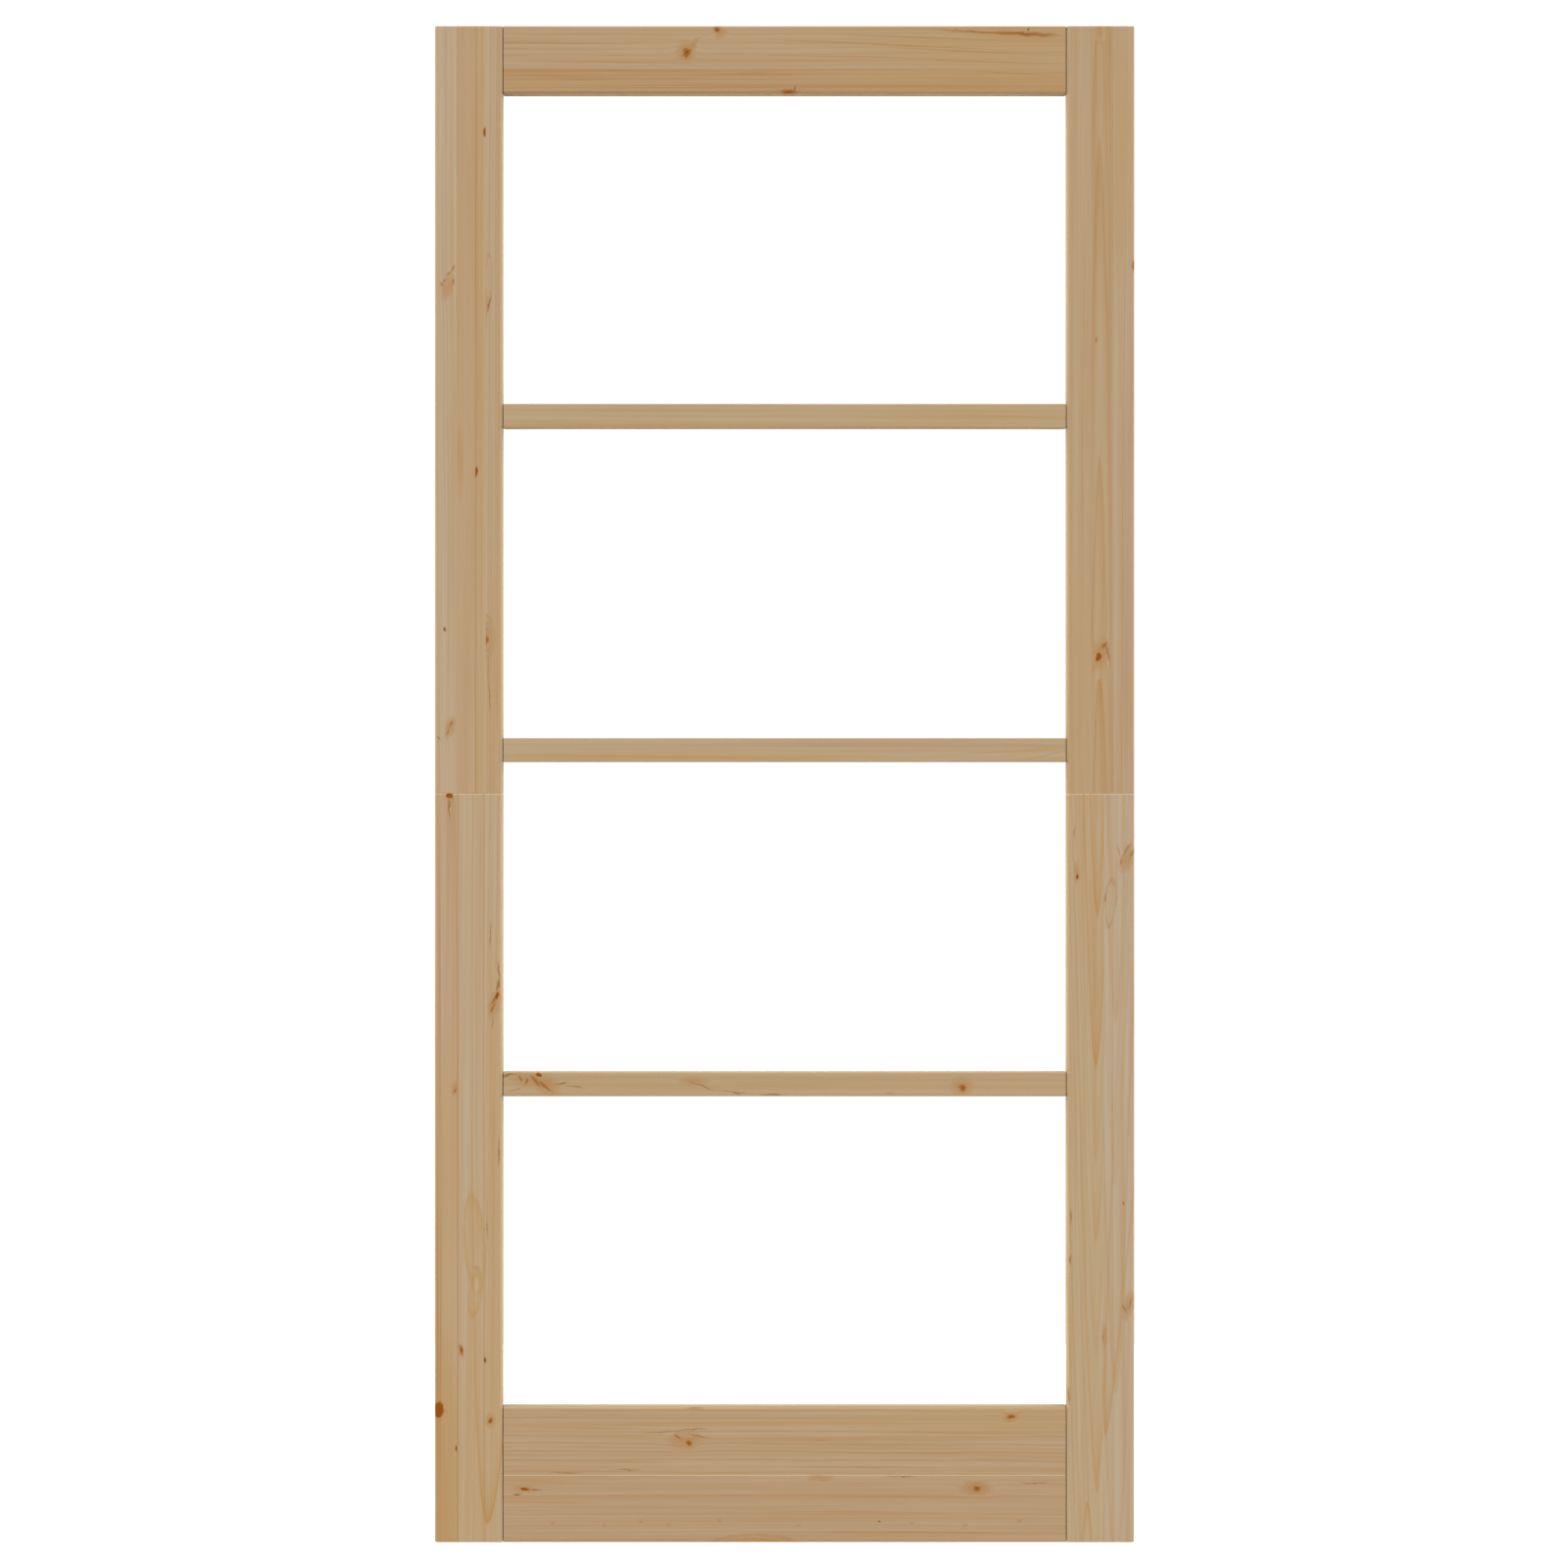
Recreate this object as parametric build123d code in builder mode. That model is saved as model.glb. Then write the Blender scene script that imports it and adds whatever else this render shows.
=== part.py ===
"""A glazed interior door leaf in bare pine, with four clear panes one above the other.

The leaf stands upright in its own frame. X runs from the hinge edge to the lock edge, Y from the
front face to the back face, and Z up. The origin is at the foot of the hinge edge, in the middle
of the leaf's thickness.
"""
import os
from math import sqrt

from build123d import *

# The whole leaf, in millimetres.
door_width = 930
door_height = 2015
door_thickness = 40

# The boards. Each stile is made of two lengths, and the bottom rail of two boards.
stile_width = 90
lower_stile_length = 995
top_rail_height = 90
bottom_board_height = 90
bar_height = 32
bar_count = 3

# The arrises taken off the boards, measured along each face. At a seam the lower piece has the wider one.
outer_ease = 1.8
light_ease = 3.0
bar_ease = 1.2
shoulder_ease = 0.8
seam_lower_ease = 1.2
seam_upper_ease = 0.4

# The shadow gap between a stile and the end of a rail or bar, on both faces of the leaf.
shoulder_gap = 1.1
shoulder_gap_depth = 5

# The glazing: a pane in a rubber channel, in a groove that runs round each light.
glass_thickness = 4
glass_arris = 0.5
seal_wall = 2
seal_base = 2
groove_depth = 9

# The tongues on the ends of the rails and bars, which fill the stiles' grooves.
tongue_clearance = 0.1
tongue_end_gap = 0.5

# The dowels. They are glued into bores, half in each board.
rail_dowel_diameter = 10
rail_dowel_length = 80
rail_dowel_spacing = 40
bar_dowel_diameter = 6
bar_dowel_length = 50
splice_dowel_diameter = 12
splice_dowel_length = 100
splice_dowel_spacing = 36
board_dowel_count = 3
board_dowel_spacing = 250
dowel_ease = 1
dowel_clearance = 0.1
dowel_end_gap = 1

# Sizes and heights that follow from those above.
groove_width = glass_thickness + 2 * seal_wall
glass_cover = groove_depth - seal_base
light_left = stile_width
light_right = door_width - stile_width
light_width = light_right - light_left
middle = door_width / 2
bottom_rail_head = 2 * bottom_board_height
top_rail_foot = door_height - top_rail_height
light_count = bar_count + 1
light_height = (top_rail_foot - bottom_rail_head - bar_count * bar_height) / light_count
light_feet = [bottom_rail_head + i * (light_height + bar_height) for i in range(light_count)]
bar_feet = [foot + light_height for foot in light_feet[:-1]]
bar_middles = [foot + bar_height / 2 for foot in bar_feet]


def dowel_pair(foot, head):
    """The heights of the two dowels in the end of a rail whose solid wood runs from foot to head."""
    centre = (foot + head) / 2
    return [centre - rail_dowel_spacing / 2, centre + rail_dowel_spacing / 2]


top_rail_dowels = dowel_pair(top_rail_foot + groove_depth, door_height)
upper_board_dowels = dowel_pair(bottom_board_height, bottom_rail_head - groove_depth)
lower_board_dowels = dowel_pair(0, bottom_board_height)
rail_dowels = top_rail_dowels + upper_board_dowels + lower_board_dowels
board_dowel_row = GridLocations(board_dowel_spacing, 1, board_dowel_count, 1)
board_dowel_places = [Pos(middle, 0, bottom_board_height) * place for place in board_dowel_row]


def lying(x, height):
    """A place at the middle of the thickness where an upright cylinder lies along X."""
    return Location((x, 0, height), (0, 90, 0))


def at_both_shoulders(heights):
    """The places of the dowels that cross the two shoulders of a rail or bar at these heights."""
    return [lying(x, height) for height in heights for x in (light_left, light_right)]


def at_splice(edge):
    """The places of the dowels that join the two lengths of a stile; edge is -1 at the hinge side."""
    solid_width = stile_width - groove_depth
    centre = middle + edge * (door_width - solid_width) / 2
    offsets = (-splice_dowel_spacing / 2, splice_dowel_spacing / 2)
    return [Pos(centre + offset, 0, lower_stile_length) for offset in offsets]


def bore(places, diameter, length):
    """Cuts dowel bores into the part that is being built."""
    with Locations(*places):
        Cylinder(diameter / 2 + dowel_clearance, length + 2 * dowel_end_gap, mode=Mode.SUBTRACT)


def dowels(label, places, diameter, length):
    """A set of like dowels with eased ends."""
    with BuildPart() as pegs:
        with Locations(*places):
            Cylinder(diameter / 2, length)
        chamfer(pegs.edges().filter_by(GeomType.CIRCLE), dowel_ease)
    save(pegs.part, label)


def save(piece, label):
    """Names a finished piece and writes it to its own file."""
    piece.label = label
    export_step(piece, f"parts/{label}.step")


def eased_board(left, right, foot, head, side_eases, end_eases, corner_eases):
    """A planed board with its arrises taken off, as three eased outlines that cut each other.

    side_eases are for the upright arrises at left and right, and end_eases for the level arrises
    at foot and head. corner_eases are for the short arrises through the thickness, at foot and
    head. An ease of 0 leaves the arrises square.
    """
    width = right - left
    height = head - foot
    with BuildPart() as board:
        with BuildSketch(Plane.XY.offset(foot)) as plan:
            with Locations(((left + right) / 2, 0)):
                Rectangle(width, door_thickness)
            for side, ease in zip((0, -1), side_eases):
                if ease > 0:
                    chamfer(plan.vertices().group_by(Axis.X)[side], ease)
        extrude(amount=height)
        with BuildSketch(Plane.YZ.offset(left)) as section:
            with Locations((0, (foot + head) / 2)):
                Rectangle(door_thickness, height)
            chamfer(section.vertices().group_by(Axis.Y)[0], end_eases[0])
            chamfer(section.vertices().group_by(Axis.Y)[-1], end_eases[1])
        extrude(amount=width, mode=Mode.INTERSECT)
        with BuildSketch(Plane.XZ.offset(-door_thickness / 2)) as face:
            with Locations(((left + right) / 2, (foot + head) / 2)):
                Rectangle(width, height)
            for row, ease in zip((0, -1), corner_eases):
                if ease > 0:
                    chamfer(face.vertices().group_by(Axis.Y)[row], ease)
        extrude(amount=door_thickness, mode=Mode.INTERSECT)
    return board.part


def ease_lights(inner_edge, foot, head):
    """Takes a stile's inner arrises off along the lights only, so they stop at the rails and bars."""
    cutter = light_ease * sqrt(2)
    for light_foot in light_feet:
        low = max(foot, light_foot)
        high = min(head, light_foot + light_height)
        if low < high:
            faces = (-door_thickness / 2, door_thickness / 2)
            with Locations(*[Location((inner_edge, face, (low + high) / 2), (0, 0, 45)) for face in faces]):
                Box(cutter, cutter, high - low, mode=Mode.SUBTRACT)


def stile_length(label, edge, foot, head, end_eases, corner_eases):
    """One length of a stile, grooved along its inner edge; edge is -1 at the hinge side."""
    left = 0 if edge < 0 else light_right
    side_eases = (outer_ease, 0)[::-edge]
    right = left + stile_width
    blank = eased_board(left, right, foot, head, side_eases, end_eases, corner_eases)
    inner_edge = light_left if edge < 0 else light_right
    with BuildPart() as stile:
        add(blank)
        with Locations((inner_edge, 0, (foot + head) / 2)):
            Box(2 * groove_depth, groove_width, head - foot, mode=Mode.SUBTRACT)
        ease_lights(inner_edge, foot, head)
        rail_bores = [height for height in rail_dowels if foot < height < head]
        bore(at_both_shoulders(rail_bores), rail_dowel_diameter, rail_dowel_length)
        bar_bores = [height for height in bar_middles if foot < height < head]
        bore(at_both_shoulders(bar_bores), bar_dowel_diameter, bar_dowel_length)
        bore(at_splice(edge), splice_dowel_diameter, splice_dowel_length)
    save(stile.part, label)


def cross_board(label, foot, head, end_eases, grooved_edges, dowel_heights, diameter, length, joined=()):
    """A rail or bar between the stiles, with a tongue on each end and a groove along each light.

    Its core meets the stiles, and its faces stop short of them by the shadow gap. grooved_edges
    are the heights of its edges that hold glass. joined are the places of upright dowels to a
    board above or below it.
    """
    ends = (shoulder_ease, shoulder_ease)
    blank = eased_board(light_left + shoulder_gap, light_right - shoulder_gap, foot, head,
                        ends, end_eases, ends)
    tongue_length = light_width + 2 * (groove_depth - tongue_end_gap)
    with BuildPart() as board:
        add(blank)
        with Locations((middle, 0, (foot + head) / 2)):
            Box(light_width, door_thickness - 2 * shoulder_gap_depth, head - foot)
            Box(tongue_length, groove_width - 2 * tongue_clearance, head - foot)
        for height in grooved_edges:
            with Locations((middle, 0, height)):
                Box(door_width, groove_width, 2 * groove_depth, mode=Mode.SUBTRACT)
        bore(at_both_shoulders(dowel_heights), diameter, length)
        if joined:
            bore(joined, rail_dowel_diameter, rail_dowel_length)
    save(board.part, label)


def glazing(number, foot):
    """One pane and the rubber channel round its edge, for the light whose lower edge is at foot."""
    centre = (middle, 0, foot + light_height / 2)
    pane_width = light_width + 2 * glass_cover
    pane_height = light_height + 2 * glass_cover
    with BuildPart() as pane:
        with Locations(centre):
            Box(pane_width, glass_thickness, pane_height)
        chamfer(pane.edges(), glass_arris)
    save(pane.part, f"glass_pane_{number}")
    with BuildPart() as seal:
        with Locations(centre):
            Box(light_width + 2 * groove_depth, groove_width, light_height + 2 * groove_depth)
            Box(light_width, groove_width, light_height, mode=Mode.SUBTRACT)
            Box(pane_width, glass_thickness, pane_height, mode=Mode.SUBTRACT)
    save(seal.part, f"glazing_seal_{number}")


os.makedirs("parts", exist_ok=True)

# The stiles, each in two lengths that meet end to end. The leaf's own corners stay square.
for edge, side in ((-1, "left"), (1, "right")):
    stile_length(f"{side}_lower_stile", edge, 0, lower_stile_length,
                 (outer_ease, seam_lower_ease), (0, seam_lower_ease))
    stile_length(f"{side}_upper_stile", edge, lower_stile_length, door_height,
                 (seam_upper_ease, outer_ease), (seam_upper_ease, 0))
    dowels(f"{side}_splice_dowels", at_splice(edge), splice_dowel_diameter, splice_dowel_length)

# The rails.
rail_peg = (rail_dowel_diameter, rail_dowel_length)
cross_board("top_rail", top_rail_foot, door_height, (light_ease, outer_ease),
            [top_rail_foot], top_rail_dowels, *rail_peg)
cross_board("bottom_rail_upper_board", bottom_board_height, bottom_rail_head, (seam_upper_ease, light_ease),
            [bottom_rail_head], upper_board_dowels, *rail_peg, joined=board_dowel_places)
cross_board("bottom_rail_lower_board", 0, bottom_board_height, (outer_ease, seam_lower_ease),
            [], lower_board_dowels, *rail_peg, joined=board_dowel_places)
dowels("top_rail_dowels", at_both_shoulders(top_rail_dowels), *rail_peg)
dowels("bottom_rail_dowels", at_both_shoulders(upper_board_dowels + lower_board_dowels), *rail_peg)
dowels("bottom_board_dowels", board_dowel_places, *rail_peg)

# The glazing bars, from the lowest up.
bar_peg = (bar_dowel_diameter, bar_dowel_length)
for number, foot in enumerate(bar_feet, start=1):
    head = foot + bar_height
    cross_board(f"glazing_bar_{number}", foot, head, (bar_ease, bar_ease),
                [foot, head], [foot + bar_height / 2], *bar_peg)
dowels("glazing_bar_dowels", at_both_shoulders(bar_middles), *bar_peg)

# The panes and their rubber channels, from the lowest up.
for number, foot in enumerate(light_feet, start=1):
    glazing(number, foot)
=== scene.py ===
"""Dresses the glazed pine door leaf: boards with softened arrises and their own grain, and clear panes."""
import math

import bmesh
import bpy
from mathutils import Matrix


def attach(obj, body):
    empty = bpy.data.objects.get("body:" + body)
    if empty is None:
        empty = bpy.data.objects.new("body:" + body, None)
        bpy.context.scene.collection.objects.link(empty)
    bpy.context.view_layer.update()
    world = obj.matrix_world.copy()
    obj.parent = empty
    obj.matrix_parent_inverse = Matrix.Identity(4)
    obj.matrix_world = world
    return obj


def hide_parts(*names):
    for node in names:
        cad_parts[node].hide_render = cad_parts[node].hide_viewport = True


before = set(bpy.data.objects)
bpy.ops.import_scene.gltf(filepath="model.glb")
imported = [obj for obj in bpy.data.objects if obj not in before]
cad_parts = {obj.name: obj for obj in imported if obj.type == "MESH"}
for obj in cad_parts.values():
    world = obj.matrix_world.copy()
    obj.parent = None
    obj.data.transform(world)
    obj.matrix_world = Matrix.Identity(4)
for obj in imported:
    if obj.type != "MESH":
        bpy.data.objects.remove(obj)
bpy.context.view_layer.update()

# The stiles. Each one is two lengths of laminated pine that meet end to end a little under the middle.
# Every length is glued up from staves, planed and sanded, and left bare. A stave keeps its own tone and
# growth rings, so the grain and the knots break off sharply where two staves meet.
mm = 0.001
leaf_width, leaf_height, leaf_thickness = 930 * mm, 2015 * mm, 40 * mm
stile_width = 90 * mm
stile_seam = 995 * mm
outer_arris = 1.8 * mm
light_arris = 3.0 * mm
groove_width, groove_depth = 8 * mm, 9 * mm


def on_plane(geometry, axis, place):
    """True if an edge or a face lies wholly on the plane at this place along an axis."""
    return all(abs(vertex.co[axis] - place) < 1e-6 for vertex in geometry.verts)


def runs_along(edge, axis):
    """True if an edge changes its place along an axis."""
    return abs(edge.verts[0].co[axis] - edge.verts[1].co[axis]) > 1e-6


def cut_apart(board, depth):
    """Cuts a board's faces along two planes, this far before and behind the middle of its thickness."""
    for place in (-depth, depth):
        everything = board.verts[:] + board.edges[:] + board.faces[:]
        bmesh.ops.bisect_plane(board, geom=everything, plane_co=(0, place, 0), plane_no=(0, 1, 0))


def push_strip(board, axis, place, depth, distance):
    """Moves the strip of an edge or end face that lies within depth of the middle, and walls it round."""
    strip = [face for face in board.faces
             if on_plane(face, axis, place) and abs(face.calc_center_median().y) < depth]
    grown = bmesh.ops.extrude_face_region(board, geom=strip)["geom"]
    way = [0, 0, 0]
    way[axis] = distance
    bmesh.ops.translate(board, vec=way, verts=[g for g in grown if isinstance(g, bmesh.types.BMVert)])
    bmesh.ops.delete(board, geom=strip, context="FACES")


def planed_board(low, high, along, arrises, ends, grooved, lights=()):
    """A board between two corners with planed-off arrises and with grooves for the glass, as a bmesh.

    along is the axis of the grain. arrises, ends and grooved each give the low side and then the high one.
    Where lights are given, as places along the grain, the arrises of the grooved side are taken off only
    there.
    """
    across = 2 - along
    board = bmesh.new()
    bmesh.ops.create_cube(board, size=1.0)
    bmesh.ops.scale(board, vec=[h - l for l, h in zip(low, high)], verts=board.verts)
    bmesh.ops.translate(board, vec=[(h + l) / 2 for l, h in zip(low, high)], verts=board.verts)
    grain = [0, 0, 0]
    grain[along] = 1
    for place in sum(lights, ()):
        if low[along] < place < high[along]:
            everything = board.verts[:] + board.edges[:] + board.faces[:]
            bmesh.ops.bisect_plane(board, geom=everything, plane_co=[place * way for way in grain],
                                   plane_no=grain)
    for side, width, cut in zip((low[across], high[across]), arrises, grooved):
        lengthwise = [edge for edge in board.edges
                      if on_plane(edge, across, side) and runs_along(edge, along)]
        if cut and lights:
            middles = {edge: (edge.verts[0].co[along] + edge.verts[1].co[along]) / 2
                       for edge in lengthwise}
            lengthwise = [edge for edge in lengthwise
                          if any(foot < middles[edge] < head for foot, head in lights)]
        planed = bmesh.ops.bevel(board, geom=lengthwise, offset=width, offset_type="OFFSET", segments=1,
                                 profile=0.5, affect="EDGES", material=-1)
        sharp = {edge for face in planed["faces"] for edge in face.edges if runs_along(edge, along)}
        bmesh.ops.bevel(board, geom=list(sharp), offset=width / 6, offset_type="OFFSET", segments=2,
                        profile=0.5, affect="EDGES", material=-1)
    for end, radius in zip((low[along], high[along]), ends):
        rim = [edge for edge in board.edges if on_plane(edge, along, end)]
        bmesh.ops.bevel(board, geom=rim, offset=radius, offset_type="OFFSET", segments=4, profile=0.5,
                        affect="EDGES", material=-1)
    if any(grooved):
        cut_apart(board, groove_width / 2)
    for side, inward, cut in zip((low[across], high[across]), (1, -1), grooved):
        if cut:
            push_strip(board, across, side, groove_width / 2, inward * groove_depth)
    return board


def fit(board, node, material):
    """Makes a finished board an object that stands for its CAD node, in the same place."""
    mesh = bpy.data.meshes.new(node)
    board.to_mesh(mesh)
    board.free()
    piece = bpy.data.objects.new(f"planed_{node}", mesh)
    bpy.context.scene.collection.objects.link(piece)
    mesh.materials.append(material)
    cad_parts[node].material_slots[0].material = material
    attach(piece, "root")
    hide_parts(node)


def linear(colour):
    """An sRGB hex colour as the linear RGBA that shader sockets take."""
    parts = [int(colour[i:i + 2], 16) / 255 for i in (1, 3, 5)]
    return [c / 12.92 if c <= 0.04045 else ((c + 0.055) / 1.055) ** 2.4 for c in parts] + [1.0]


def add_node(tree, kind, inputs, **settings):
    """Adds one node to a tree. An input is a value, a node's output, or a node for its first output."""
    made = tree.nodes.new(kind)
    for name, value in settings.items():
        setattr(made, name, value)
    for key, value in inputs.items():
        if isinstance(value, bpy.types.Node):
            value = value.outputs[0]
        if isinstance(value, bpy.types.NodeSocket):
            tree.links.new(value, made.inputs[key])
        else:
            made.inputs[key].default_value = value
    return made


def set_stops(ramp_node, stops):
    """Gives a colour ramp its stops, as (place, RGB colour, alpha) from the first to the last."""
    elements = ramp_node.color_ramp.elements
    while len(elements) > len(stops):
        elements.remove(elements[-1])
    while len(elements) < len(stops):
        elements.new(1.0)
    for element, (place, colour, alpha) in zip(elements, stops):
        element.position = place
        element.color = (*colour[:3], alpha)


# What marks the wood. Each kind says how its outline lies in the wood, how far it pushes the growth rings
# aside in millimetres, and then its colours with their cover, from its middle out to where it has faded.
knot = ("ragged", 4.0, [(0.0, "#8F4A0B", 1.0), (0.14, "#9A5510", 1.0), (0.32, "#A8682A", 0.85),
                        (0.42, "#96571D", 0.8),
                        (0.52, "#B27F48", 0.5), (0.75, "#B98B58", 0.25), (1.0, "#BA9060", 0.0)])
dark_knot = ("ragged", 5.0, [(0.0, "#96500C", 1.0), (0.48, "#9A530D", 1.0), (0.6, "#8A4A10", 0.9),
                             (0.7, "#B07A40", 0.5), (1.0, "#BA9060", 0.0)])
pin_knot = ("ragged", 1.5, [(0.0, "#7E450F", 1.0), (0.4, "#935A22", 0.9), (0.65, "#B5814A", 0.45),
                            (1.0, "#BA9060", 0.0)])
ringed_knot = ("ragged", 3.0, [(0.0, "#A97231", 0.75), (0.22, "#B28A57", 0.6), (0.32, "#A17A4F", 0.65),
                               (0.42, "#B5905F", 0.5), (0.62, "#AA8256", 0.55), (0.72, "#B79468", 0.35),
                               (0.92, "#AE8454", 0.5), (1.0, "#BA9566", 0.0)])
branch = ("ragged", 3.0, [(0.0, "#B58250", 0.6), (0.5, "#B58754", 0.5), (0.85, "#B88D5E", 0.3),
                          (1.0, "#BA9060", 0.0)])
resin = ("ragged", 0.0, [(0.0, "#8E5826", 0.85), (0.5, "#A06A34", 0.65), (1.0, "#B48A5A", 0.0)])
bark = ("ragged", 0.0, [(0.0, "#8A5A30", 0.75), (0.5, "#A27446", 0.55), (1.0, "#B48A5A", 0.0)])
loop = ("ragged", 0.0, [(0.0, "#B08250", 0.0), (0.65, "#B08250", 0.0), (0.85, "#AA7A48", 0.45),
                        (1.0, "#B48A5A", 0.0)])
cathedral = ("arched", 0.0, [(0.0, "#BC9560", 0.0), (0.6, "#BC9560", 0.0), (0.88, "#B98C50", 0.4),
                              (0.965, "#B6823F", 0.6), (1.0, "#BA9566", 0.0)])
swirl = ("ragged", 2.0, [(0.0, "#BE9C68", 0.0), (0.45, "#BE9C68", 0.1), (0.86, "#BA9052", 0.55),
                         (1.0, "#BE9F70", 0.0)])
line = ("running", 0.0, [(0.0, "#B47636", 0.85), (0.45, "#B5803F", 0.5), (1.0, "#BA9566", 0.0)])
streak = ("running", 0.0, [(0.0, "#AE7A44", 0.55), (0.5, "#B0834E", 0.4), (1.0, "#B48A5A", 0.0)])
warm = ("running", 0.0, [(0.0, "#BB8C54", 0.55), (0.6, "#BB905C", 0.4), (1.0, "#BA9566", 0.0)])
golden = ("running", 0.0, [(0.0, "#BC9762", 0.4), (0.6, "#BD9A66", 0.3), (1.0, "#BE9F70", 0.0)])
pale = ("running", 0.0, [(0.0, "#C6B08E", 0.7), (0.7, "#C4AD8A", 0.5), (1.0, "#C0A884", 0.0)])
# A painted highlight: a pale straight line laid along the arris at a seam, where the lit arris catches the
# light.
painted_seam_highlight = ("straight", 0.0, [(0.0, "#D8BF99", 0.9), (0.7, "#D2B88F", 0.75), (1.0, "#C8AE86", 0.0)])
full = 6000


def pine(name, upright, far_edge, staves, ripple, marks):
    """Laminated pine, planed and sanded: soft growth rings in each stave, with knots and resin streaks.

    All sizes are in millimetres on the leaf. staves are (edge, tone, tone of the latewood and its strength,
    pith across, pith depth, ring width, taper) up to far_edge, where taper is how much the rings widen
    along the board. ripple is how far the rings waver. marks are (kind, x, z, width, height, tilt in
    degrees).
    """
    material = bpy.data.materials.new(name)
    material.use_nodes = True
    tree = material.node_tree
    shader = tree.nodes["Principled BSDF"]
    place = add_node(tree, "ShaderNodeTexCoord", {}).outputs
    leaf = add_node(tree, "ShaderNodeVectorMath", {0: place["Object"], "Scale": 1000.0}, operation="SCALE")
    parts = add_node(tree, "ShaderNodeSeparateXYZ", {0: leaf})
    along = parts.outputs["Z" if upright else "X"]
    across = parts.outputs["X" if upright else "Z"]
    depth = parts.outputs["Y"]

    # Which stave a point is in, and what that stave is like. The ramps also carry plain numbers, which are
    # raised so that none is below 0. Each stave has its noise from another place.
    raised = 500
    stave_shift = 31.7
    edges = [stave[0] for stave in staves] + [far_edge]
    places = [(edge - edges[0]) / (far_edge - edges[0]) for edge in edges]
    span = add_node(tree, "ShaderNodeMapRange", {0: across, 1: edges[0], 2: far_edge})
    tone, late_tone, habit = [add_node(tree, "ShaderNodeValToRGB", {0: span}) for ramp in range(3)]
    for ramp in (tone, late_tone, habit):
        ramp.color_ramp.interpolation = "CONSTANT"
    set_stops(tone, [(place, linear(stave[1]), 1.0) for place, stave in zip(places, staves)])
    set_stops(late_tone, [(place, linear(stave[2]), stave[3]) for place, stave in zip(places, staves)])
    set_stops(habit, [(place, (pith_across + raised, pith_depth + raised, ring_width), taper + 1)
                      for place, (*_, pith_across, pith_depth, ring_width, taper) in zip(places, staves)])
    trait = add_node(tree, "ShaderNodeSeparateColor", {0: habit})
    taper = add_node(tree, "ShaderNodeMath", {0: habit.outputs["Alpha"], 1: 1.0}, operation="SUBTRACT")
    shifted = add_node(tree, "ShaderNodeMath", {0: trait.outputs[0], 1: stave_shift, 2: along},
                       operation="MULTIPLY_ADD")
    grain = add_node(tree, "ShaderNodeCombineXYZ", {0: shifted, 1: across, 2: depth})

    # The marks. Knots have ragged outlines and taper from the front to the back, long streaks sway with the
    # grain, and both end at the edge of their stave. The pale seam line is a painted highlight standing in
    # for the light that the lower board's arris catches; it is straight and crosses all staves.
    waver_scale = (1 / 6, 1 / 6, 1 / 14) if upright else (1 / 14, 1 / 6, 1 / 6)
    waver_place = add_node(tree, "ShaderNodeVectorMath", {0: leaf, 1: waver_scale}, operation="MULTIPLY")
    waver = add_node(tree, "ShaderNodeTexNoise",
                     {"Vector": waver_place, "Scale": 1.0, "Detail": 3.0, "Roughness": 0.6})
    sway_place = add_node(tree, "ShaderNodeVectorMath", {0: grain, 1: (1 / 700, 0, 0)},
                          operation="MULTIPLY")
    sway = add_node(tree, "ShaderNodeTexNoise", {"Vector": sway_place, "Scale": 1.0, "Detail": 1.0})
    lying = {"straight": leaf}
    for way, noise, reach in (("ragged", waver, 7.0), ("running", sway, 5.0)):
        offset = add_node(tree, "ShaderNodeVectorMath",
                          {0: noise.outputs["Color"], 1: (0.5, 0.5, 0.5)}, operation="SUBTRACT")
        lying[way] = add_node(tree, "ShaderNodeVectorMath",
                              {0: offset, 1: (reach, 0.0, reach), 2: leaf}, operation="MULTIPLY_ADD")
    lying["arched"] = lying["running"]
    in_stave = [add_node(tree, "ShaderNodeMath", {0: across, 1: (a + b) / 2, 2: (b - a) / 2 + 0.2},
                         operation="COMPARE") for a, b in zip(edges, edges[1:])]
    knot_taper = 0.3
    inset = add_node(tree, "ShaderNodeMapRange", {0: depth, 1: -20.0, 2: 20.0, 3: 0.0, 4: knot_taper})
    fields = []
    for (way, push, stops), x, z, wide, tall, tilt in marks:
        local = add_node(tree, "ShaderNodeMapping", {
            "Vector": lying[way], "Location": (x, 0, z), "Rotation": (0, math.radians(tilt), 0),
            "Scale": (wide / 2, 1e6, tall / 2)}, vector_type="TEXTURE")
        if way == "arched":
            sides = add_node(tree, "ShaderNodeSeparateXYZ", {0: local}).outputs
            bow = add_node(tree, "ShaderNodeMath", {0: sides[0], 1: sides[0], 2: 1.0},
                           operation="MULTIPLY_ADD")
            away = add_node(tree, "ShaderNodeMath", {0: bow, 1: sides[2]}, operation="SUBTRACT")
        else:
            away = add_node(tree, "ShaderNodeVectorMath", {0: local}, operation="LENGTH").outputs["Value"]
        if push:
            away = add_node(tree, "ShaderNodeMath", {0: away, 1: inset}, operation="ADD")
        number = sum((x if upright else z) >= edge for edge in edges[1:-1])
        fields.append((push, stops, away, 1.0 if way == "straight" else in_stave[number]))

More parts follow.
